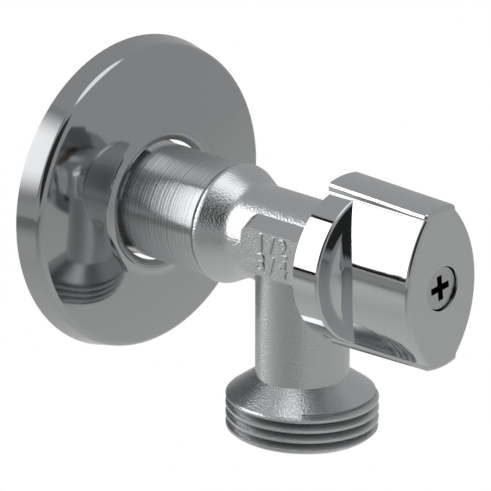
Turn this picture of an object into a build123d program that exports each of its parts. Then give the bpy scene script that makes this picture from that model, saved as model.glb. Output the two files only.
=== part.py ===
from build123d import *
import os

# Angle valve for a wall outlet. The water comes through the wall along Y, a rubber washer on a
# screwed spindle shuts it off, and it leaves downwards through a hose thread.
# Frame: the wall face is Y 0, the valve axis runs along -Y towards the user, the outlet along -Z.
# A reach is a distance from the wall face along -Y. All sizes are in millimetres.

# Tail and inlet pipe thread
tail_depth = 9.0
inlet_thread_diameter = 20.955
inlet_thread_length = 13.0
tail_diameter = 20.4
inlet_bore = 12.0

# Forged shoulder and neck
turned_reach = 24.2
shoulder_flare = 1.0
shoulder_diameter = 21.6
shoulder_round = 1.5
shoulder_taper = 5.2
neck_diameter = 16.5
neck_round = 3.0

# Outlet stem and hose thread
outlet_from_neck = 10.6
outlet_drop = 33.35
stem_diameter = 16.26
outlet_thread_diameter = 26.441
outlet_thread_length = 6.75
outlet_cone_height = 3.4
outlet_bore = 9.0
outlet_mouth_bore = 16.0
thread_chamfer = 0.6
blend_radius = 0.8

# Marking pad on the side of the neck
pad_setback = 4.6
pad_end_gap = 2.0
pad_height = 8.0
pad_lift = 0.45
pad_proud = 0.85
pad_corner = 1.6
pad_draft = 24.0
pad_root_depth = 3.3

# Seat and washer
seat_bore = 8.0
seat_land = 1.2
seat_height = 1.0
seat_to_outlet = 1.9
washer_diameter = 10.4
washer_thickness = 3.0
washer_cup_wall = 0.6
washer_cup_depth = 1.2
washer_side_gap = 0.05

# Washer carrier and its nut
carrier_plate = 1.7
carrier_stud_diameter = 3.0
carrier_stalk_diameter = 4.0
carrier_stalk_length = 6.0
nut_across_flats = 5.5
nut_thickness = 2.0
stud_overhang = 0.4

# Spindle and headwork
lift = 3.0
lift_margin = 0.2
spindle_flange_diameter = 11.2
spindle_thread_diameter = 9.0
spindle_shaft_diameter = 8.0
spindle_square = 5.5
spindle_square_length = 6.1
spindle_step_gap = 0.4
running_gap = 0.06
thread_gap = 0.05
neck_past_outlet = 10.4
bonnet_thread_diameter = 13.2
bonnet_shank = 5.0
bonnet_thread_bore_length = 7.8
bonnet_hex_across_flats = 15.0
bonnet_hex_thickness = 2.6
bonnet_nose_diameter = 11.2
bonnet_nose_length = 7.0
gasket_thickness = 0.8
o_ring_section = 1.3
o_ring_offset = 1.2
o_ring_spacing = 1.9
o_ring_gap = 0.02
groove_side_gap = 0.1

# Knob
handle_gap = 1.5
handle_length = 21.6
collar_diameter = 26.9
collar_length = 5.9
cove_radius = 3.0
core_inset = 0.6
grip_half_width = 8.85
grip_side_radius = 19.4
grip_draft = 0.25
rib_half_width = 3.75
rib_back_radius = 14.9
rib_front_radius = 14.2
handle_turn = 2.0
skirt_bore = 19.2
hub_bore = 12.6
nose_end_gap = 0.6
hex_face_gap = 0.4
socket_gap = 0.08
socket_depth_gap = 0.2
front_edge_radius = 0.75
collar_edge_radius = 0.5
rib_edge_radius = 0.8
rib_foot_radius = 0.3

# Knob screw
screw_head_diameter = 7.3
screw_head_height = 2.3
screw_recess_diameter = 7.7
screw_web = 1.0
screw_diameter = 4.0
screw_length = 8.4
screw_hole_gap = 0.2
cross_width = 1.2
cross_span = 4.4
cross_depth = 1.5
cross_turn = 7.0

# Pressed wall plate
plate_diameter = 56.4
plate_skirt_depth = 4.7
plate_skirt_taper = 1.0
plate_dome_rise = 0.265
plate_dome_share = 0.65
plate_flare_radius = 13.6
plate_flare_depth = 7.35
plate_depth = 8.3
plate_lip_radius = 12.0
plate_hole_gap = 0.32
plate_lip_turn = 1.1
plate_sheet = 0.7
plate_skirt_bend = 1.6
plate_flare_bend = 4.0
plate_lip_bend = 1.0

# Reaches along the valve axis that follow from the sizes above
shoulder_reach = turned_reach + shoulder_flare
neck_reach = shoulder_reach + shoulder_taper
outlet_reach = neck_reach + outlet_from_neck
seat_reach = outlet_reach - outlet_bore / 2 - seat_to_outlet
washer_back = seat_reach + washer_thickness
carrier_back = washer_back + carrier_plate
neck_end = outlet_reach + neck_past_outlet
pad_start = neck_reach + pad_setback
pad_end = neck_end - pad_end_gap
bonnet_inner_end = neck_end - bonnet_shank
spindle_flange_end = bonnet_inner_end - lift - lift_margin
bonnet_step = bonnet_inner_end + bonnet_thread_bore_length
spindle_step = bonnet_step - lift - spindle_step_gap
hex_back = neck_end + gasket_thickness
hex_front = hex_back + bonnet_hex_thickness
nose_end = hex_front + bonnet_nose_length
square_start = nose_end + nose_end_gap / 2
square_end = square_start + spindle_square_length
handle_back = outlet_reach + stem_diameter / 2 + handle_gap
handle_front = handle_back + handle_length
collar_front = handle_back + collar_length
socket_end = square_end + socket_depth_gap
screw_seat = socket_end + screw_web
o_ring_reaches = [bonnet_step + o_ring_offset + i * o_ring_spacing for i in range(2)]

# Bores that follow from what runs in them
neck_bore = bonnet_thread_diameter + 2 * thread_gap
bonnet_thread_bore = spindle_thread_diameter + 2 * running_gap
bonnet_seal_bore = spindle_shaft_diameter + 2 * running_gap
o_ring_mean_radius = bonnet_seal_bore / 2 - o_ring_gap - o_ring_section / 2
stalk_bore = carrier_stalk_diameter + 2 * running_gap


def turned_on_axis(*corners):
    """Solid turned about the valve axis from (reach, radius) corners."""
    outline = Polyline(*[(radius, -reach) for reach, radius in corners], close=True)
    return revolve(make_face(outline), Axis.Y)


def bored_on_axis(start, end, diameter):
    """Plain cylinder on the valve axis between two reaches."""
    return turned_on_axis((start, 0), (start, diameter / 2), (end, diameter / 2), (end, 0))


def across_axis(reach):
    """Plane square to the valve axis, facing the user, with local x along X and local y along Z."""
    return Plane(origin=(0, -reach, 0), x_dir=(1, 0, 0), z_dir=(0, -1, 0))


def hexagon_on_axis(start, end, across_flats):
    """Hexagonal prism on the valve axis between two reaches."""
    outline = RegularPolygon(across_flats / 2, 6, major_radius=False)
    return extrude(across_axis(start) * outline, end - start)


def make_valve_body():
    """Brass forging: turned tail, rounded shoulder, neck, outlet stem and marking pad, with its bores."""
    thread_radius = inlet_thread_diameter / 2
    tail_radius = tail_diameter / 2
    thread_end = inlet_thread_length - tail_depth
    neck_radius = neck_diameter / 2
    tail_line = Polyline(
        (0, tail_depth),
        (thread_radius - thread_chamfer, tail_depth),
        (thread_radius, tail_depth - thread_chamfer),
        (thread_radius, -thread_end),
        (tail_radius, -thread_end - (thread_radius - tail_radius)),
        (tail_radius, -turned_reach),
    )
    forged_line = FilletPolyline(
        (tail_radius, -turned_reach),
        (shoulder_diameter / 2, -shoulder_reach),
        (neck_radius, -neck_reach),
        (neck_radius, -neck_end),
        radius=[shoulder_round, neck_round],
    )
    end_line = Polyline((neck_radius, -neck_end), (0, -neck_end), (0, tail_depth))
    run = revolve(make_face(tail_line + forged_line + end_line), Axis.Y)

    stem_radius = stem_diameter / 2
    hose_radius = outlet_thread_diameter / 2
    thread_top = outlet_thread_length - outlet_drop
    stem_line = Polyline(
        (0, 0),
        (stem_radius, 0),
        (stem_radius, thread_top + outlet_cone_height),
        (hose_radius - thread_chamfer / 2, thread_top),
        (hose_radius, thread_top - thread_chamfer / 2),
        (hose_radius, thread_chamfer - outlet_drop),
        (hose_radius - thread_chamfer, -outlet_drop),
        (0, -outlet_drop),
        close=True,
    )
    stem = Pos(0, -outlet_reach, 0) * revolve(Plane.XZ * make_face(stem_line), Axis.Z)
    body = run + stem
    joint_edges = [
        edge
        for edge in body.edges()
        if abs(edge.center().Y + outlet_reach) < stem_radius and -neck_radius < edge.center().Z < 0
    ]
    body = fillet(joint_edges, blend_radius)

    pad_centre = (pad_start + pad_end) / 2
    pad_face = Plane(
        origin=(-neck_radius - pad_proud, -pad_centre, pad_lift), x_dir=(0, -1, 0), z_dir=(1, 0, 0)
    )
    pad_outline = pad_face * RectangleRounded(pad_end - pad_start, pad_height, pad_corner)
    body += extrude(pad_outline, pad_root_depth, taper=-pad_draft)

    seat_radius = seat_bore / 2
    inlet_cone_start = seat_reach - seat_height - (inlet_bore - seat_bore) / 2 - neck_bore / 4
    body -= turned_on_axis(
        (-tail_depth, 0),
        (-tail_depth, inlet_bore / 2),
        (inlet_cone_start, inlet_bore / 2),
        (inlet_cone_start + (inlet_bore - seat_bore) / 2, seat_radius),
        (seat_reach, seat_radius),
        (seat_reach, 0),
    )
    body -= turned_on_axis(
        (seat_reach, 0),
        (seat_reach, seat_radius + seat_land),
        (seat_reach - seat_height, seat_radius + seat_land),
        (seat_reach - seat_height, neck_bore / 2),
        (neck_end, neck_bore / 2),
        (neck_end, 0),
    )
    mouth_cone = (outlet_mouth_bore - outlet_bore) / 2
    bore_line = Polyline(
        (0, 0),
        (outlet_bore / 2, 0),
        (outlet_bore / 2, thread_top + mouth_cone),
        (outlet_mouth_bore / 2, thread_top),
        (outlet_mouth_bore / 2, -outlet_drop),
        (0, -outlet_drop),
        close=True,
    )
    body -= Pos(0, -outlet_reach, 0) * revolve(Plane.XZ * make_face(bore_line), Axis.Z)
    return body


def make_escutcheon():
    """Wall plate pressed from one sheet: skirt, domed face and a flared lip turned in round the tail."""
    rim_radius = plate_diameter / 2
    hole_radius = inlet_thread_diameter / 2 + plate_hole_gap
    face_width = rim_radius - plate_skirt_taper - plate_flare_radius
    dome_radius = plate_flare_radius + face_width / 2
    dome_depth = (plate_skirt_depth + plate_flare_depth) / 2 + plate_dome_rise
    dome_bend = plate_dome_share * face_width**2 / (4 * plate_dome_rise)
    outside = FilletPolyline(
        (rim_radius, 0),
        (rim_radius - plate_skirt_taper, -plate_skirt_depth),
        (dome_radius, -dome_depth),
        (plate_flare_radius, -plate_flare_depth),
        (plate_lip_radius, -plate_depth),
        (hole_radius, plate_lip_turn - plate_depth),
        radius=[plate_skirt_bend, dome_bend, plate_flare_bend, plate_lip_bend],
    )
    section = make_face(offset(outside, plate_sheet, side=Side.RIGHT))
    return revolve(section, Axis.Y)


def make_bonnet():
    """Headwork housing screwed into the neck: threaded shank, hexagon and nose, bored for the spindle."""
    bonnet = bored_on_axis(bonnet_inner_end, hex_back, bonnet_thread_diameter)
    bonnet += hexagon_on_axis(hex_back, hex_front, bonnet_hex_across_flats)
    bonnet += bored_on_axis(hex_front, nose_end, bonnet_nose_diameter)
    bonnet -= bored_on_axis(bonnet_inner_end, bonnet_step, bonnet_thread_bore)
    bonnet -= bored_on_axis(bonnet_step, nose_end, bonnet_seal_bore)
    return bonnet


def make_bonnet_gasket():
    """Flat ring between the neck's end and the bonnet's hexagon."""
    ring = bored_on_axis(neck_end, hex_back, bonnet_hex_across_flats)
    return ring - bored_on_axis(neck_end, hex_back, neck_bore)


def make_spindle():
    """Screwed stem: flange and stalk bore inside, seal grooves, square end tapped for the knob's screw."""
    groove_radius = o_ring_mean_radius - o_ring_section / 2 - o_ring_gap
    groove_half = o_ring_section / 2 + groove_side_gap
    spindle = bored_on_axis(carrier_back, spindle_flange_end, spindle_flange_diameter)
    spindle += bored_on_axis(spindle_flange_end, spindle_step, spindle_thread_diameter)
    spindle += bored_on_axis(spindle_step, square_start, spindle_shaft_diameter)
    square = across_axis(square_start) * Rot(0, 0, handle_turn) * Rectangle(spindle_square, spindle_square)
    spindle += extrude(square, spindle_square_length)
    spindle -= bored_on_axis(carrier_back, carrier_back + carrier_stalk_length + running_gap, stalk_bore)
    spindle -= bored_on_axis(screw_seat - screw_length, square_end, screw_diameter)
    for reach in o_ring_reaches:
        ring = bored_on_axis(reach - groove_half, reach + groove_half, spindle_shaft_diameter)
        spindle -= ring - bored_on_axis(reach - groove_half, reach + groove_half, 2 * groove_radius)
    return spindle


def make_o_ring(reach):
    """Rubber ring in one of the spindle's grooves."""
    section = Pos(o_ring_mean_radius, -reach) * Circle(o_ring_section / 2)
    return revolve(section, Axis.Y)


def make_jumper():
    """Washer carrier: cup for the washer, stud for its nut, and a stalk that sits in the spindle."""
    cup_bore = washer_diameter + 2 * washer_side_gap
    cup_diameter = cup_bore + 2 * washer_cup_wall
    stud_start = seat_reach - nut_thickness - stud_overhang
    jumper = bored_on_axis(washer_back - washer_cup_depth, carrier_back, cup_diameter)
    jumper -= bored_on_axis(washer_back - washer_cup_depth, washer_back, cup_bore)
    jumper += bored_on_axis(stud_start, washer_back, carrier_stud_diameter)
    jumper += bored_on_axis(carrier_back, carrier_back + carrier_stalk_length, carrier_stalk_diameter)
    return jumper


def make_seat_washer():
    """Flat rubber washer that closes on the seat."""
    washer = bored_on_axis(seat_reach, washer_back, washer_diameter)
    return washer - bored_on_axis(seat_reach, washer_back, carrier_stud_diameter + 2 * thread_gap)


def make_washer_nut():
    """Small hexagon nut that holds the washer on its stud, inside the seat's bore."""
    nut = hexagon_on_axis(seat_reach - nut_thickness, seat_reach, nut_across_flats)
    stud_hole = carrier_stud_diameter + 2 * thread_gap
    return nut - bored_on_axis(seat_reach - nut_thickness, seat_reach, stud_hole)


def grip_outline(half_width, rib_radius):
    """Lens between two side arcs with a rib at its top and bottom, their corners rounded."""
    side = Circle(grip_side_radius)
    side_shift = grip_side_radius - half_width
    lens = (Pos(side_shift, 0) * side) & (Pos(-side_shift, 0) * side) & Circle(collar_diameter / 2)
    rib = Rectangle(2 * rib_half_width, 3 * rib_radius) & Circle(rib_radius)
    outline = lens + rib
    lens_height = lens.bounding_box().max.Y
    rib_sides = outline.vertices().filter_by(lambda corner: abs(abs(corner.X) - rib_half_width) < 1e-6)
    rib_feet = rib_sides.filter_by(lambda corner: abs(corner.Y) < lens_height)
    outline = fillet(rib_feet, rib_foot_radius)
    rib_tops = outline.vertices().filter_by(lambda corner: abs(corner.Y) > lens_height)
    return fillet(rib_tops, rib_edge_radius)


def make_handle():
    """Die-cast knob: round collar coved into a lens-shaped grip, with a rib along top and bottom."""
    turn = Rot(0, 0, handle_turn)
    collar_radius = collar_diameter / 2
    cove_end = collar_front + cove_radius
    core_radius = grip_half_width - core_inset
    collar_line = Polyline(
        (0, -handle_back),
        (collar_radius - collar_edge_radius, -handle_back),
        (collar_radius, -handle_back - collar_edge_radius),
        (collar_radius, collar_edge_radius - collar_front),
    )
    edge_line = TangentArc(
        (collar_radius, collar_edge_radius - collar_front),
        (collar_radius - collar_edge_radius, -collar_front),
        tangent=(0, -1),
    )
    shoulder_line = Line(
        (collar_radius - collar_edge_radius, -collar_front), (core_radius + cove_radius, -collar_front)
    )
    cove_line = TangentArc(
        (core_radius + cove_radius, -collar_front), (core_radius, -cove_end), tangent=(-1, 0)
    )
    core_line = Polyline((core_radius, -cove_end), (0, -cove_end), (0, -handle_back))
    collar = make_face(collar_line + edge_line + shoulder_line + cove_line + core_line)
    handle = revolve(collar, Axis.Y)

    grip_back = across_axis(handle_back) * turn * grip_outline(grip_half_width, rib_back_radius)
    front_half_width = grip_half_width - grip_draft
    grip_front = across_axis(handle_front) * turn * grip_outline(front_half_width, rib_front_radius)
    handle += loft([grip_back.face(), grip_front.face()], ruled=True)
    front_edges = handle.faces().sort_by(Axis.Y)[0].outer_wire().edges()
    handle = fillet(front_edges, front_edge_radius)

    handle -= bored_on_axis(handle_back, hex_front + hex_face_gap, skirt_bore)
    handle -= bored_on_axis(handle_back, nose_end + nose_end_gap, hub_bore)
    socket_width = spindle_square + 2 * socket_gap
    socket = across_axis(nose_end) * turn * Rectangle(socket_width, socket_width)
    handle -= extrude(socket, socket_end - nose_end)
    handle -= bored_on_axis(socket_end, screw_seat, screw_diameter + 2 * screw_hole_gap)
    handle -= bored_on_axis(screw_seat, handle_front, screw_recess_diameter)
    return handle


def make_handle_screw():
    """Cheese-head screw with a cross recess, through the knob into the spindle."""
    head_front = screw_seat + screw_head_height
    shank_diameter = screw_diameter - 2 * thread_gap
    screw = bored_on_axis(screw_seat, head_front, screw_head_diameter)
    screw += bored_on_axis(screw_seat - screw_length + thread_gap, screw_seat, shank_diameter)
    cross = Rectangle(cross_width, cross_span) + Rectangle(cross_span, cross_width)
    screw -= extrude(across_axis(head_front - cross_depth) * Rot(0, 0, cross_turn) * cross, cross_depth)
    return screw


os.makedirs("parts", exist_ok=True)
nodes = {
    "valve_body": make_valve_body(),
    "escutcheon": make_escutcheon(),
    "bonnet": make_bonnet(),
    "bonnet_gasket": make_bonnet_gasket(),
    "spindle": make_spindle(),
    "spindle_o_ring_inner": make_o_ring(o_ring_reaches[0]),
    "spindle_o_ring_outer": make_o_ring(o_ring_reaches[1]),
    "jumper": make_jumper(),
    "seat_washer": make_seat_washer(),
    "washer_nut": make_washer_nut(),
    "handle": make_handle(),
    "handle_screw": make_handle_screw(),
}
for name, solid in nodes.items():
    export_step(solid, f"parts/{name}.step")
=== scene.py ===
import bmesh
import bpy
from math import cos, pi, radians, sin, tau
from mathutils import Matrix, Vector


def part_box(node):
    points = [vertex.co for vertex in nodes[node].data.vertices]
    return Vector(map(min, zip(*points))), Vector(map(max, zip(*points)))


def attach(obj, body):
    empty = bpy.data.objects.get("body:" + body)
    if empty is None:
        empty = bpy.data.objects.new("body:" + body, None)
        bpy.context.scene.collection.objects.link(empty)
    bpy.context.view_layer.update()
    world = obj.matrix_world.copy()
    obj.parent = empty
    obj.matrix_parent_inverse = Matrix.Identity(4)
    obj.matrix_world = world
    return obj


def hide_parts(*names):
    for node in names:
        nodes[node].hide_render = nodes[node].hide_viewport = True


# The frame holds every piece of the valve at its place, in metres: the wall face is Y 0,
# the user stands on the -Y side and the outlet points down.
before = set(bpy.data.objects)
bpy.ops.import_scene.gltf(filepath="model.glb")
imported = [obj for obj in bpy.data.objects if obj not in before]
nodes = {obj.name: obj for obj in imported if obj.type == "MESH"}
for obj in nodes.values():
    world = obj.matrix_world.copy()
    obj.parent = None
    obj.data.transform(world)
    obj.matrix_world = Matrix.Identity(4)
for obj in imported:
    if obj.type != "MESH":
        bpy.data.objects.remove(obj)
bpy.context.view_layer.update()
mm = 0.001


# Wall plate: one disc of sheet steel, pressed to a shallow dome with its rim turned back to the wall
# and a flared lip turned in round the pipe, then polished and chrome plated. It is loose on the tail.
plate_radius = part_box("escutcheon")[1].x
plate_sheet = 0.7 * mm
rim_draft = 1.0 * mm
rim_height = 4.7 * mm
rim_bend = 1.6 * mm
dome_rise = 0.265 * mm
dome_share = 0.65
flare_foot = (13.6 * mm, 7.35 * mm)
flare_bend = 4.0 * mm
flare_crest = (12.0 * mm, 8.3 * mm)
crest_bend = 1.0 * mm
lip_end = (10.7975 * mm, 7.2 * mm)
bend_steps = 14
plate_segments = 288
pressed_edge_angle = 40


def linear(hex_colour):
    """Linear RGBA of an sRGB hex colour."""
    levels = [int(hex_colour[i : i + 2], 16) / 255 for i in (1, 3, 5)]
    return [v / 12.92 if v <= 0.04045 else ((v + 0.055) / 1.055) ** 2.4 for v in levels] + [1.0]


def add_node(tree, kind, settings=None, inputs=None):
    """Adds one node; an input is a plain value or the output socket that it takes."""
    node = tree.nodes.new(kind)
    for name, value in (settings or {}).items():
        setattr(node, name, value)
    for name, value in (inputs or {}).items():
        if isinstance(value, bpy.types.NodeSocket):
            tree.links.new(value, node.inputs[name])
        else:
            node.inputs[name].default_value = value
    return node


def new_material(name):
    """An empty material with its Principled shader, ready for its pattern."""
    material = bpy.data.materials.new(name)
    material.use_nodes = True
    return material, material.node_tree, material.node_tree.nodes["Principled BSDF"]


def polish(tree, shader, ripple_width, ripple_depth, clear, hazy):
    """A plated mirror with a slow ripple and a haze that drifts with it; returns its coordinates."""
    ripple_strength = 0.02
    surface = add_node(tree, "ShaderNodeTexCoord").outputs["Object"]
    ripple = add_node(
        tree,
        "ShaderNodeTexNoise",
        {},
        {"Vector": surface, "Scale": 1 / ripple_width, "Detail": 1.0},
    ).outputs["Fac"]
    bump = add_node(
        tree,
        "ShaderNodeBump",
        {},
        {"Height": ripple, "Strength": ripple_strength, "Distance": ripple_depth},
    )
    haze = add_node(tree, "ShaderNodeMapRange", {}, {"Value": ripple, "To Min": clear, "To Max": hazy})
    shader.inputs["Metallic"].default_value = 1.0
    tree.links.new(haze.outputs["Result"], shader.inputs["Roughness"])
    tree.links.new(bump.outputs["Normal"], shader.inputs["Normal"])
    return surface


def fillet_corner(before, corner, after, radius, steps):
    """Points of the arc that rounds one corner of a profile."""
    a = (Vector(before) - Vector(corner)).normalized()
    b = (Vector(after) - Vector(corner)).normalized()
    half = a.angle(b) / 2
    centre = Vector(corner) + (a + b).normalized() * (radius / sin(half))
    start = Vector(corner) + a * (radius * cos(half) / sin(half)) - centre
    end = Vector(corner) + b * (radius * cos(half) / sin(half)) - centre
    sweep = start.angle(end)
    arc = []
    for i in range(steps + 1):
        t = i / steps
        arc.append(centre + (start * sin((1 - t) * sweep) + end * sin(t * sweep)) / sin(sweep))
    return arc


def sheet_profile(corners, bends, steps):
    """The pressed sheet's front line with its bends rounded."""
    line = [Vector(corners[0])]
    for i, bend in enumerate(bends):
        line += fillet_corner(corners[i], corners[i + 1], corners[i + 2], bend, steps)
    return line + [Vector(corners[-1])]


def sheet_section(line, thickness):
    """Closed section of a sheet whose front follows the line."""
    back = []
    for i, point in enumerate(line):
        ahead = line[min(i + 1, len(line) - 1)] - line[max(i - 1, 0)]
        back.append(point - Vector((ahead.y, -ahead.x)).normalized() * thickness)
    return line + back[::-1]


def turned_mesh(name, section, segments):
    """A closed section of (radius, reach) points turned about the valve axis."""
    shape = bmesh.new()
    rings = []
    for point in section:
        ring = []
        for i in range(segments):
            angle = tau * i / segments
            ring.append(shape.verts.new((point.x * cos(angle), -point.y, point.x * sin(angle))))
        rings.append(ring)
    for a, b in zip(rings, rings[1:] + rings[:1]):
        for i in range(segments):
            j = (i + 1) % segments
            shape.faces.new((a[i], a[j], b[j], b[i]))
    mesh = bpy.data.meshes.new(name)
    shape.to_mesh(mesh)
    shape.free()
    return mesh


def finish_mesh(piece, edge_angle):
    """Merges doubles and keeps the drawn surface's own normals. Where it has none, or they point away
    from the merged face, the normals of the faces within the edge angle are blended."""
    merge_distance = 0.0005 * mm
    least_agreement = 0.8
    mesh = piece.data
    drawn = [corner.vector.copy() for corner in mesh.corner_normals] if mesh.has_custom_normals else []
    shape = bmesh.new()
    shape.from_mesh(mesh)
    layer = shape.loops.layers.float_vector.get("drawn_normal")
    if layer is None:
        layer = shape.loops.layers.float_vector.new("drawn_normal")
        for loop, normal in zip((loop for face in shape.faces for loop in face.loops), drawn):
            loop[layer] = normal
    bmesh.ops.remove_doubles(shape, verts=shape.verts, dist=merge_distance)
    bmesh.ops.recalc_face_normals(shape, faces=shape.faces)
    limit = cos(radians(edge_angle))
    shading = []
    for face in shape.faces:
        face.smooth = True
        for loop in face.loops:
            blend = Vector((0, 0, 0))
            for near in loop.vert.link_faces:
                if near.normal.dot(face.normal) > limit:
                    blend += near.normal * near.calc_area()
            own = loop[layer].normalized()
            shading.append(own if own.dot(face.normal) > least_agreement else blend.normalized())
    shape.to_mesh(mesh)
    shape.free()
    for name in ("custom_normal", "sharp_edge"):
        if name in mesh.attributes:
            mesh.attributes.remove(mesh.attributes[name])
    mesh.normals_split_custom_set(shading)


def place_piece(name, mesh, material, body, node):
    """A finished mesh as a piece that stands for its CAD node."""
    piece = bpy.data.objects.new(name, mesh)
    bpy.context.scene.collection.objects.link(piece)
    mesh.materials.clear()
    mesh.materials.append(material)
    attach(piece, body)
    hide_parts(node)
    return piece


# Polished chrome on pressed steel: a clear mirror with a faint haze and a slow ripple from the press.
polished_sheet, tree, shader = new_material("polished_chrome_on_pressed_steel")
shader.inputs["Base Color"].default_value = linear("#AFB1B3")
polish(tree, shader, ripple_width=9.0 * mm, ripple_depth=0.4 * mm, clear=0.05, hazy=0.08)

rim_top = (plate_radius - rim_draft, rim_height)
face_width = rim_top[0] - flare_foot[0]
dome_top = ((rim_top[0] + flare_foot[0]) / 2, (rim_top[1] + flare_foot[1]) / 2 + dome_rise)
dome_bend = dome_share * face_width**2 / (4 * dome_rise)
plate_corners = [(plate_radius, 0), rim_top, dome_top, flare_foot, flare_crest, lip_end]
plate_line = sheet_profile(plate_corners, [rim_bend, dome_bend, flare_bend, crest_bend], bend_steps)
plate_mesh = turned_mesh("wall_plate", sheet_section(plate_line, plate_sheet), plate_segments)
wall_plate = place_piece(
    "wall_plate", plate_mesh, polished_sheet, "wall_plate", "escutcheon"
)
finish_mesh(wall_plate, pressed_edge_angle)


# Valve body: a brass hot forging, turned on the tail and at the outlet, then chrome plated. The tail's
# fine turning lines and the forging's grain show through the plating; both ends carry a pipe thread.
body_low, body_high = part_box("valve_body")
outlet_reach = 41.0 * mm
outlet_thread_radius = 13.2205 * mm
outlet_thread_length = 6.75 * mm
inlet_thread_radius = 10.4775 * mm
inlet_thread_end = -4.0 * mm
thread_pitch = 25.4 / 14 * mm
thread_depth = 1.16 * mm
groove_size = 0.95 * mm
groove_offset = groove_size - thread_depth
groove_lead = 0.9 * mm
hose_groove_spare = 1.2 * mm
points_per_turn = 120
pad_face = -9.1 * mm
pad_middle = 42.2 * mm
pad_lift = 0.45 * mm
numeral_size = 4.4 * mm
numeral_line_space = 0.82
numeral_gap = 1.35
numeral_rise = 0.16 * mm
numeral_bevel = 0.08 * mm
cast_edge_angle = 25


def evaluated_mesh(piece):
    """The piece's mesh with its modifiers applied."""
    bpy.context.view_layer.update()
    depsgraph = bpy.context.evaluated_depsgraph_get()
    return bpy.data.meshes.new_from_object(piece.evaluated_get(depsgraph))


def thread_groove(name, radius, length, material):
    """Helical groove along +Z from the origin, made by Geometry Nodes from its named sizes."""
    group = bpy.data.node_groups.new(name, "GeometryNodeTree")
    for label in ("Radius", "Length", "Pitch", "Groove Size"):
        group.interface.new_socket(label, in_out="INPUT", socket_type="NodeSocketFloat")
    group.interface.new_socket("Geometry", in_out="OUTPUT", socket_type="NodeSocketGeometry")
    sizes = add_node(group, "NodeGroupInput").outputs
    turns = add_node(
        group,
        "ShaderNodeMath",
        {"operation": "DIVIDE"},
        {0: sizes["Length"], 1: sizes["Pitch"]},
    )
    spiral = add_node(
        group,
        "GeometryNodeCurveSpiral",
        {},
        {
            "Resolution": points_per_turn,
            "Rotations": turns.outputs[0],
            "Start Radius": sizes["Radius"],
            "End Radius": sizes["Radius"],
            "Height": sizes["Length"],
        },
    )
    upright = add_node(
        group, "GeometryNodeSetCurveNormal", {"mode": "Z_UP"}, {"Curve": spiral.outputs["Curve"]}
    )
    vee = add_node(
        group, "GeometryNodeCurvePrimitiveCircle", {}, {"Resolution": 3, "Radius": sizes["Groove Size"]}
    )
    sweep = add_node(
        group,
        "GeometryNodeCurveToMesh",
        {},
        {"Curve": upright.outputs["Curve"], "Profile Curve": vee.outputs["Curve"], "Fill Caps": True},
    )
    whole = add_node(group, "GeometryNodeRealizeInstances", {}, {"Geometry": sweep.outputs["Mesh"]})
    painted = add_node(
        group,
        "GeometryNodeSetMaterial",
        {},
        {"Geometry": whole.outputs["Geometry"], "Material": material},
    )
    add_node(group, "NodeGroupOutput", {}, {"Geometry": painted.outputs["Geometry"]})
    groove = bpy.data.objects.new(name, bpy.data.meshes.new(name))
    bpy.context.scene.collection.objects.link(groove)
    modifier = groove.modifiers.new("groove", "NODES")
    modifier.node_group = group
    values = {"Radius": radius, "Length": length, "Pitch": thread_pitch, "Groove Size": groove_size}
    for item in group.interface.items_tree:
        if item.in_out == "INPUT":
            modifier[item.identifier] = values[item.name]
    return groove


def cut_away(piece, cutter):
    """Takes the cutter's shape out of the piece and removes the cutter."""
    modifier = piece.modifiers.new("cut", "BOOLEAN")
    modifier.operation = "DIFFERENCE"
    modifier.solver = "EXACT"
    modifier.object = cutter
    mesh = evaluated_mesh(piece)
    piece.modifiers.clear()
    piece.data = mesh
    bpy.data.objects.remove(cutter)


# Chrome plate over forged and turned brass: the plating follows the metal under it, so the turned
# tail shows rings that stretch its reflections, and the forged skin has a soft grain that blurs what
# it mirrors. Rings and grain are drawn coarser than the real ones, so that they show.
forged_chrome, tree, shader = new_material("chrome_on_forged_brass")
chrome_colour = "#C4C6C8"
# The grey of the painted shade in the hose thread's roots and the bore.
groove_shade_colour = "#A0A1A3"
forging_grain = 0.35 * mm
turning_pitch = 0.5 * mm
turned_reach = 24.2 * mm
ring_share = 0.9
skin_depth = 0.12 * mm
skin_strength = 0.6
forged_roughness = 0.22
turned_roughness = 0.23
quarter_turn = 0.25
groove_shade_starts = 0.15 * mm
groove_shade_full = 0.7 * mm
surface = add_node(tree, "ShaderNodeTexCoord").outputs["Object"]
place = add_node(tree, "ShaderNodeSeparateXYZ", {}, {"Vector": surface})
turned = add_node(
    tree, "ShaderNodeMath", {"operation": "GREATER_THAN"}, {0: place.outputs["Y"], 1: -turned_reach}
)
rings = add_node(
    tree,
    "ShaderNodeTexNoise",
    {"noise_dimensions": "1D"},
    {"W": place.outputs["Y"], "Scale": 1 / turning_pitch, "Detail": 2.0},
)
shallow_rings = add_node(
    tree, "ShaderNodeMath", {"operation": "MULTIPLY"}, {0: rings.outputs["Fac"], 1: ring_share}
)
grain = add_node(
    tree, "ShaderNodeTexNoise", {}, {"Vector": surface, "Scale": 1 / forging_grain, "Detail": 2.0}
)
relief = add_node(
    tree,
    "ShaderNodeMix",
    {},
    {"Factor": turned.outputs[0], "A": grain.outputs["Fac"], "B": shallow_rings.outputs[0]},
)
bump = add_node(
    tree,
    "ShaderNodeBump",
    {},
    {"Height": relief.outputs[0], "Strength": skin_strength, "Distance": skin_depth},
)
sheen = add_node(
    tree,
    "ShaderNodeMix",
    {},
    {"Factor": turned.outputs[0], "A": forged_roughness, "B": turned_roughness},
)
around = add_node(tree, "ShaderNodeTangent", {"direction_type": "RADIAL", "axis": "Y"})
from_outlet = add_node(
    tree,
    "ShaderNodeVectorMath",
    {"operation": "MULTIPLY_ADD"},
    {0: surface, 1: (1, 1, 0), 2: (0, outlet_reach, 0)},
)
outlet_radius = add_node(
    tree, "ShaderNodeVectorMath", {"operation": "LENGTH"}, {0: from_outlet.outputs["Vector"]}
)
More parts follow.
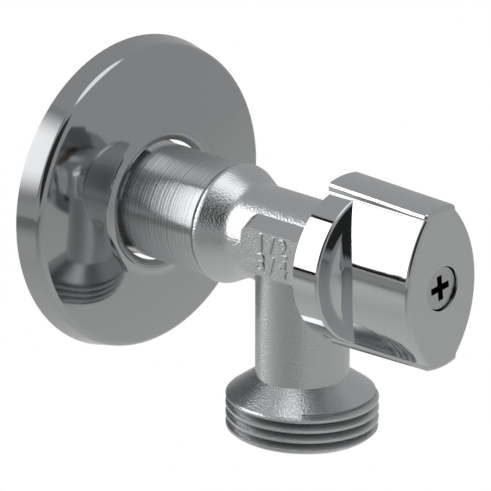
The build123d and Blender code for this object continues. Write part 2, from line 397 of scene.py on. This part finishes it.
# Painted shade: below the cone, the hose thread's roots and the bore turn to the darker grey.
groove_shade_share = add_node(
    tree,
    "ShaderNodeMapRange",
    {},
    {
        "Value": outlet_radius.outputs["Value"],
        "From Min": outlet_thread_radius - groove_shade_starts,
        "From Max": outlet_thread_radius - groove_shade_full,
    },
)
below_cone = add_node(
    tree,
    "ShaderNodeMath",
    {"operation": "LESS_THAN"},
    {0: place.outputs["Z"], 1: body_low.z + outlet_thread_length},
)
in_groove = add_node(
    tree,
    "ShaderNodeMath",
    {"operation": "MULTIPLY"},
    {0: groove_shade_share.outputs["Result"], 1: below_cone.outputs[0]},
)
plating = add_node(
    tree,
    "ShaderNodeMix",
    {"data_type": "RGBA"},
    {"Factor": in_groove.outputs[0], "A": linear(chrome_colour), "B": linear(groove_shade_colour)},
)
shader.inputs["Metallic"].default_value = 1.0
shader.inputs["Anisotropic Rotation"].default_value = quarter_turn
tree.links.new(plating.outputs["Result"], shader.inputs["Base Color"])
tree.links.new(sheen.outputs[0], shader.inputs["Roughness"])
tree.links.new(turned.outputs[0], shader.inputs["Anisotropic"])
tree.links.new(around.outputs[0], shader.inputs["Tangent"])
tree.links.new(bump.outputs["Normal"], shader.inputs["Normal"])

body_mesh = nodes["valve_body"].data.copy()
valve_body = place_piece(
    "chromed_body", body_mesh, forged_chrome, "valve", "valve_body"
)
finish_mesh(valve_body, cast_edge_angle)
hose_groove_length = outlet_thread_length + hose_groove_spare
hose_groove = thread_groove(
    "hose_thread", outlet_thread_radius + groove_offset, hose_groove_length, forged_chrome
)
hose_groove.matrix_world = Matrix.Translation((0, -outlet_reach, body_low.z - groove_lead))
cut_away(valve_body, hose_groove)

# Raised on the pad, the two thread sizes in inches: the wall's above the hose's.
numerals = bpy.data.curves.new("size_numerals", "FONT")
numerals.body = "1/2\n3/4"
numerals.size = numeral_size
numerals.space_line = numeral_line_space
numerals.space_character = numeral_gap
numerals.align_x = "CENTER"
numerals.align_y = "CENTER"
numerals.extrude = numeral_rise
numerals.bevel_depth = numeral_bevel
numeral_block = bpy.data.objects.new("size_numerals", numerals)
bpy.context.scene.collection.objects.link(numeral_block)
numeral_mesh = evaluated_mesh(numeral_block)
bpy.data.objects.remove(numeral_block)
numeral_turn = Matrix(((0, 0, -1), (-1, 0, 0), (0, 1, 0))).to_4x4()
numeral_mesh.transform(Matrix.Translation((pad_face, -pad_middle, pad_lift)) @ numeral_turn)
body_shape = bmesh.new()
body_shape.from_mesh(valve_body.data)
body_shape.from_mesh(numeral_mesh)
body_shape.to_mesh(valve_body.data)
body_shape.free()

wall_groove_length = body_high.y - inlet_thread_end + groove_lead
wall_groove = thread_groove(
    "wall_thread", inlet_thread_radius + groove_offset, wall_groove_length, forged_chrome
)
into_valve = Matrix.Rotation(pi / 2, 4, "X")
wall_groove.matrix_world = Matrix.Translation((0, body_high.y + groove_lead, 0)) @ into_valve
cut_away(valve_body, wall_groove)
finish_mesh(valve_body, cast_edge_angle)


# Knob: die-cast zinc, polished all over and chrome plated, so its flats and coves mirror cleanly.
# It sits on the spindle's square end and one screw in the middle holds it.
recess_radius = 3.88 * mm
recess_reach = 71.7 * mm
# The colour of the painted shade in the recesses of the knob and the screw.
recess_shade_colour = "#171615"

# Polished chrome on die-cast zinc: a clean mirror, with painted shade in the recess round the screw's
# head.
polished_zinc, tree, shader = new_material("polished_chrome_on_die_cast_zinc")
surface = polish(tree, shader, ripple_width=6.0 * mm, ripple_depth=0.08 * mm, clear=0.04, hazy=0.08)
across = add_node(tree, "ShaderNodeVectorMath", {"operation": "MULTIPLY"}, {0: surface, 1: (1, 0, 1)})
from_axis = add_node(
    tree, "ShaderNodeVectorMath", {"operation": "LENGTH"}, {0: across.outputs["Vector"]}
)
place = add_node(tree, "ShaderNodeSeparateXYZ", {}, {"Vector": surface})
in_bore = add_node(
    tree, "ShaderNodeMath", {"operation": "LESS_THAN"}, {0: from_axis.outputs["Value"], 1: recess_radius}
)
below_front = add_node(
    tree, "ShaderNodeMath", {"operation": "GREATER_THAN"}, {0: place.outputs["Y"], 1: -recess_reach}
)
# Painted shade: the knob's bore round the screw's head, deeper than the knob's front, is darkened.
in_recess = add_node(
    tree, "ShaderNodeMath", {"operation": "MULTIPLY"}, {0: in_bore.outputs[0], 1: below_front.outputs[0]}
)
recess_shade_mix = add_node(
    tree,
    "ShaderNodeMix",
    {"data_type": "RGBA"},
    {"Factor": in_recess.outputs[0], "A": linear(chrome_colour), "B": linear(recess_shade_colour)},
)
tree.links.new(recess_shade_mix.outputs["Result"], shader.inputs["Base Color"])

knob = place_piece("knob", nodes["handle"].data.copy(), polished_zinc, "knob", "handle")
finish_mesh(knob, cast_edge_angle)


# Knob screw: a steel cheese head with a pressed cross recess, zinc plated. It is sunk in the knob's
# front and holds the knob on the spindle's square.
head_face = 71.5 * mm
scratch_spacing = 0.4 * mm

# Zinc plated steel: a duller, finely scratched grey, with painted shade in the cross recess.
plated_steel, tree, shader = new_material("zinc_plated_steel")
surface = add_node(tree, "ShaderNodeTexCoord").outputs["Object"]
scratches = add_node(
    tree, "ShaderNodeTexNoise", {}, {"Vector": surface, "Scale": 1 / scratch_spacing, "Detail": 3.0}
)
worn = add_node(
    tree, "ShaderNodeMapRange", {}, {"Value": scratches.outputs["Fac"], "To Min": 0.16, "To Max": 0.34}
)
place = add_node(tree, "ShaderNodeSeparateXYZ", {}, {"Vector": surface})
# Painted shade: all that lies deeper than the head's face is darkened.
sunk = add_node(
    tree, "ShaderNodeMath", {"operation": "GREATER_THAN"}, {0: place.outputs["Y"], 1: -head_face}
)
recess_shade_mix = add_node(
    tree,
    "ShaderNodeMix",
    {"data_type": "RGBA"},
    {"Factor": sunk.outputs[0], "A": linear("#B9BBBD"), "B": linear(recess_shade_colour)},
)
shader.inputs["Metallic"].default_value = 1.0
tree.links.new(recess_shade_mix.outputs["Result"], shader.inputs["Base Color"])
tree.links.new(worn.outputs["Result"], shader.inputs["Roughness"])

screw_mesh = nodes["handle_screw"].data.copy()
knob_screw = place_piece("knob_screw", screw_mesh, plated_steel, "knob", "handle_screw")
finish_mesh(knob_screw, cast_edge_angle)


# Headwork inside the neck: turned brass left bare, with black rubber seals and a red fibre gasket.
# Only its hexagon shows, from behind the knob when the valve is open.
def mottled_material(name, patch_width, detail, tones, metallic, roughness):
    """A material that drifts between two tones over patches of a real width."""
    material, tree, shader = new_material(name)
    surface = add_node(tree, "ShaderNodeTexCoord").outputs["Object"]
    patches = add_node(
        tree, "ShaderNodeTexNoise", {}, {"Vector": surface, "Scale": 1 / patch_width, "Detail": detail}
    )
    tone = add_node(
        tree,
        "ShaderNodeMix",
        {"data_type": "RGBA"},
        {"Factor": patches.outputs["Fac"], "A": linear(tones[0]), "B": linear(tones[1])},
    )
    tree.links.new(tone.outputs["Result"], shader.inputs["Base Color"])
    shader.inputs["Metallic"].default_value = metallic
    shader.inputs["Roughness"].default_value = roughness
    return material


# Bare brass has patches of tarnish, moulded rubber a faint grey bloom, and pressed fibre its own fleck.
bare_brass = mottled_material(
    "turned_brass", 2.5 * mm, 4.0, ("#D9B566", "#B08A42"), metallic=1.0, roughness=0.28
)
black_rubber = mottled_material(
    "moulded_nitrile_rubber", 1.2 * mm, 3.0, ("#1A1A1A", "#2B2B2A"), metallic=0.0, roughness=0.6
)
red_fibre = mottled_material(
    "pressed_red_fibre", 0.8 * mm, 4.0, ("#8A2F22", "#A8463A"), metallic=0.0, roughness=0.75
)
inner_finishes = {
    "bonnet": bare_brass,
    "spindle": bare_brass,
    "jumper": bare_brass,
    "washer_nut": bare_brass,
    "seat_washer": black_rubber,
    "spindle_o_ring_inner": black_rubber,
    "spindle_o_ring_outer": black_rubber,
    "bonnet_gasket": red_fibre,
}
for name, finish in inner_finishes.items():
    nodes[name].data.materials.clear()
    nodes[name].data.materials.append(finish)


# Stage: a pale floor well below the valve, with a cloth sheet on it and a grey tent round it that only
# the metal sees. A large soft box stands to the left and behind, a small light hangs overhead and the
# camera's side is dark, as the reflections in the tail, the shoulder and the knob show.
aim = Vector((0, -35 * mm, -5 * mm))
white = (1, 1, 1, 1)
paper_colour = "#F0F0EE"
paper_roughness = 0.9
floor_half = 1.2
floor_height = -0.25
sheet_height = floor_height + 2 * mm
floor_outline = [(x * floor_half, y * floor_half) for x, y in ((-1, -1), (1, -1), (1, 1), (-1, 1))]


def stage_sheet(name, corners, material, camera_sees):
    """A flat sheet of the set round the valve, which is no piece of the part."""
    mesh = bpy.data.meshes.new(name)
    mesh.from_pydata(corners, [], [tuple(range(len(corners)))])
    mesh.materials.append(material)
    piece = bpy.data.objects.new(name, mesh)
    bpy.context.scene.collection.objects.link(piece)
    piece.visible_camera = camera_sees
    return piece


def white_to_camera(tree, surface):
    """White where the camera, a mirror or a glass sees it, and the given surface to other rays."""
    light_path = add_node(tree, "ShaderNodeLightPath")
    seen = light_path.outputs["Is Camera Ray"]
    for ray in ("Is Glossy Ray", "Is Transmission Ray"):
        seen = add_node(
            tree, "ShaderNodeMath", {"operation": "MAXIMUM"}, {0: seen, 1: light_path.outputs[ray]}
        ).outputs[0]
    glow = add_node(tree, "ShaderNodeEmission", {}, {"Color": white, "Strength": 1.0})
    return add_node(tree, "ShaderNodeMixShader", {}, {0: seen, 1: surface, 2: glow.outputs[0]}).outputs[0]


pale_floor, tree, shader = new_material("pale_floor_paper")
shader.inputs["Base Color"].default_value = linear(paper_colour)
shader.inputs["Roughness"].default_value = paper_roughness
floor_surface = white_to_camera(tree, shader.outputs[0])
tree.links.new(floor_surface, tree.nodes["Material Output"].inputs["Surface"])
stage_sheet("floor", [(x, y, floor_height) for x, y in floor_outline], pale_floor, True)

# The sheet lies just over the floor, for the metal to mirror, and turns greyer to the left and behind.
sheet_cloth, tree, shader = new_material("grey_sheet_cloth")
far_left = (-0.7, 0.7, 0)
pale_until = -0.1
grey_from = 0.3
surface = add_node(tree, "ShaderNodeTexCoord").outputs["Object"]
to_far_left = add_node(
    tree, "ShaderNodeVectorMath", {"operation": "DOT_PRODUCT"}, {0: surface, 1: far_left}
)
grey_share = add_node(
    tree,
    "ShaderNodeMapRange",
    {},
    {"Value": to_far_left.outputs["Value"], "From Min": pale_until, "From Max": grey_from},
)
cloth_tone = add_node(
    tree,
    "ShaderNodeMix",
    {"data_type": "RGBA"},
    {"Factor": grey_share.outputs["Result"], "A": linear(paper_colour), "B": linear("#B8B8B6")},
)
shader.inputs["Roughness"].default_value = paper_roughness
tree.links.new(cloth_tone.outputs["Result"], shader.inputs["Base Color"])
stage_sheet("tent_sheet", [(x, y, sheet_height) for x, y in floor_outline], sheet_cloth, False)

# A small black flag behind the plate keeps the soft box from shining through its hollow. Its black, which
# the lip and the tail mirror, is painted shade for the plate's hollow.
black_card, tree, shader = new_material("black_card_paper")
flag_inner = 12.5 * mm
flag_outer = 26 * mm
flag_place = 1 * mm
flag_start = -75
flag_sweep = 170
flag_steps = 24
shader.inputs["Base Color"].default_value = linear("#1E1E1D")
shader.inputs["Roughness"].default_value = paper_roughness
flag_turns = [radians(flag_start + flag_sweep * i / flag_steps) for i in range(flag_steps + 1)]
flag_corners = [(-flag_inner * cos(turn), flag_place, flag_inner * sin(turn)) for turn in flag_turns]
flag_corners += [
    (-flag_outer * cos(turn), flag_place, flag_outer * sin(turn)) for turn in reversed(flag_turns)
]
stage_sheet("light_flag", flag_corners, black_card, False)

# The tent is an even grey, with a round bright patch overhead and a round dark one on the camera's side.
tent_cloth, tree, shader = new_material("grey_tent_cloth")
tent_radius = 2.0
tent_fineness = 4
tent_level = 0.48
overhead = Vector((0, -0.1, 1)).normalized()
camera_side = Vector((-0.74, -0.52, 0.42)).normalized()
surface = add_node(tree, "ShaderNodeTexCoord").outputs["Object"]
facing = add_node(tree, "ShaderNodeVectorMath", {"operation": "NORMALIZE"}, {0: surface})


def tent_patch(level_before, direction, outer, inner, level):
    """The level with a soft-edged round patch in one direction, from its outer to its inner half angle."""
    nearness = add_node(
        tree, "ShaderNodeVectorMath", {"operation": "DOT_PRODUCT"}, {0: facing.outputs[0], 1: direction}
    )
    share = add_node(
        tree,
        "ShaderNodeMapRange",
        {"interpolation_type": "SMOOTHSTEP"},
        {
            "Value": nearness.outputs["Value"],
            "From Min": cos(radians(outer)),
            "From Max": cos(radians(inner)),
        },
    )
    patched = add_node(
        tree, "ShaderNodeMix", {}, {"Factor": share.outputs["Result"], "A": level_before, "B": level}
    )
    return patched.outputs[0]


shade = tent_patch(tent_level, overhead, outer=25, inner=17, level=1.6)
shade = tent_patch(shade, camera_side, outer=31, inner=24, level=0.04)
glow = add_node(tree, "ShaderNodeEmission", {}, {"Color": white, "Strength": shade})
tree.links.new(glow.outputs[0], tree.nodes["Material Output"].inputs["Surface"])
tent_shape = bmesh.new()
bmesh.ops.create_icosphere(tent_shape, subdivisions=tent_fineness, radius=tent_radius)
tent_mesh = bpy.data.meshes.new("tent")
tent_shape.to_mesh(tent_mesh)
tent_shape.free()
tent_mesh.materials.append(tent_cloth)
tent = bpy.data.objects.new("tent", tent_mesh)
bpy.context.scene.collection.objects.link(tent)
tent.location = aim
tent.visible_camera = False

# The soft box's cloth, along U from its right end to its left: sharp edged and bright to the middle,
# then fading, with edges that grow softer.
white_cloth, tree, shader = new_material("soft_box_cloth")
box_distance = 0.8
box_low = Vector((-0.752, 0.649, -0.114)) * box_distance
box_high = Vector((-0.266, 0.649, 0.713)) * box_distance
box_centre = (box_low + box_high) / 2
box_rise = (box_high - box_low) / 2
box_side = box_rise.cross(box_centre).normalized()
box_left = 0.62
box_right = -0.45
frame_share = 1.12
box_glow = 3.0
cloth_end = 0.2
middle = 0.5
soft_by = 0.8
open_by = 0.7
sharp_edge = 0.49 / frame_share
soft_edge = 0.05
cloth_edge = 0.5 / frame_share
uv = add_node(tree, "ShaderNodeTexCoord").outputs["UV"]
place = add_node(tree, "ShaderNodeSeparateXYZ", {}, {"Vector": uv})
rise = add_node(tree, "ShaderNodeMath", {"operation": "SUBTRACT"}, {0: place.outputs["Y"], 1: middle})
from_middle = add_node(tree, "ShaderNodeMath", {"operation": "ABSOLUTE"}, {0: rise.outputs[0]})
edge_start = add_node(
    tree,
    "ShaderNodeMapRange",
    {},
    {
        "Value": place.outputs["X"],
        "From Min": middle,
        "From Max": soft_by,
        "To Min": sharp_edge,
        "To Max": soft_edge,
    },
)
edge_level = add_node(
    tree,
    "ShaderNodeMapRange",
    {},
    {
        "Value": place.outputs["X"],
        "From Min": middle,
        "From Max": open_by,
        "To Min": 0.0,
        "To Max": cloth_end,
    },
)
lit = add_node(
    tree,
    "ShaderNodeMapRange",
    {"interpolation_type": "SMOOTHSTEP"},
    {
        "Value": from_middle.outputs[0],
        "From Min": edge_start.outputs["Result"],
        "From Max": cloth_edge,
        "To Min": 1.0,
        "To Max": edge_level.outputs["Result"],
    },
)
fade = add_node(
    tree,
    "ShaderNodeMapRange",
    {"interpolation_type": "SMOOTHSTEP"},
    {"Value": place.outputs["X"], "From Min": 1.0, "From Max": middle, "To Min": cloth_end},
)
level = add_node(
    tree, "ShaderNodeMath", {"operation": "MULTIPLY"}, {0: lit.outputs[0], 1: fade.outputs["Result"]}
)
power = add_node(tree, "ShaderNodeMath", {"operation": "MULTIPLY"}, {0: level.outputs[0], 1: box_glow})
glow = add_node(tree, "ShaderNodeEmission", {}, {"Color": white, "Strength": power.outputs[0]})
tree.links.new(glow.outputs[0], tree.nodes["Material Output"].inputs["Surface"])
box_corners = [
    aim + box_centre + box_side * side + box_rise * (up_or_down * frame_share)
    for side, up_or_down in ((box_right, -1), (box_left, -1), (box_left, 1), (box_right, 1))
]
soft_box = stage_sheet("soft_box", box_corners, white_cloth, False)
box_uv = soft_box.data.uv_layers.new(name="uv")
for loop, corner in zip(box_uv.data, ((0, 0), (1, 0), (1, 1), (0, 1))):
    loop.uv = corner

world = bpy.data.worlds.new("studio")
bpy.context.scene.world = world
world.use_nodes = True
tree = world.node_tree
tree.nodes.clear()
studio_grey = add_node(tree, "ShaderNodeBackground", {}, {"Color": linear("#B4B4B4"), "Strength": 1.0})
backdrop = white_to_camera(tree, studio_grey.outputs[0])
add_node(tree, "ShaderNodeOutputWorld", {}, {"Surface": backdrop})


# Camera: at the photograph's viewing angle, from a distance that keeps its flat perspective, and
# moved sideways and up a little so that the valve stands in the picture as it does there.
camera_azimuth = radians(-46.4)
camera_elevation = radians(19.8)
camera_distance = 0.65
camera_right = -5.42 * mm
camera_up = 3.14 * mm
camera_sensor = 36
camera_sight = 50
picture_size = 491
pixels_per_metre = 5840
back = Vector(
    (
        sin(camera_azimuth) * cos(camera_elevation),
        -cos(camera_azimuth) * cos(camera_elevation),
        sin(camera_elevation),
    )
)
right = Vector((cos(camera_azimuth), sin(camera_azimuth), 0))
up = back.cross(right)
camera_data = bpy.data.cameras.new("camera")
camera_data.sensor_width = camera_sensor
camera_data.lens = pixels_per_metre * camera_distance * camera_data.sensor_width / picture_size
camera_data.clip_end = camera_sight
camera = bpy.data.objects.new("camera", camera_data)
bpy.context.scene.collection.objects.link(camera)
camera_place = aim + right * camera_right + up * camera_up + back * camera_distance
camera_turn = Matrix((right, up, back)).transposed().to_4x4()
camera.matrix_world = Matrix.Translation(camera_place) @ camera_turn
bpy.context.scene.camera = camera
bpy.context.scene.view_settings.view_transform = "Standard"
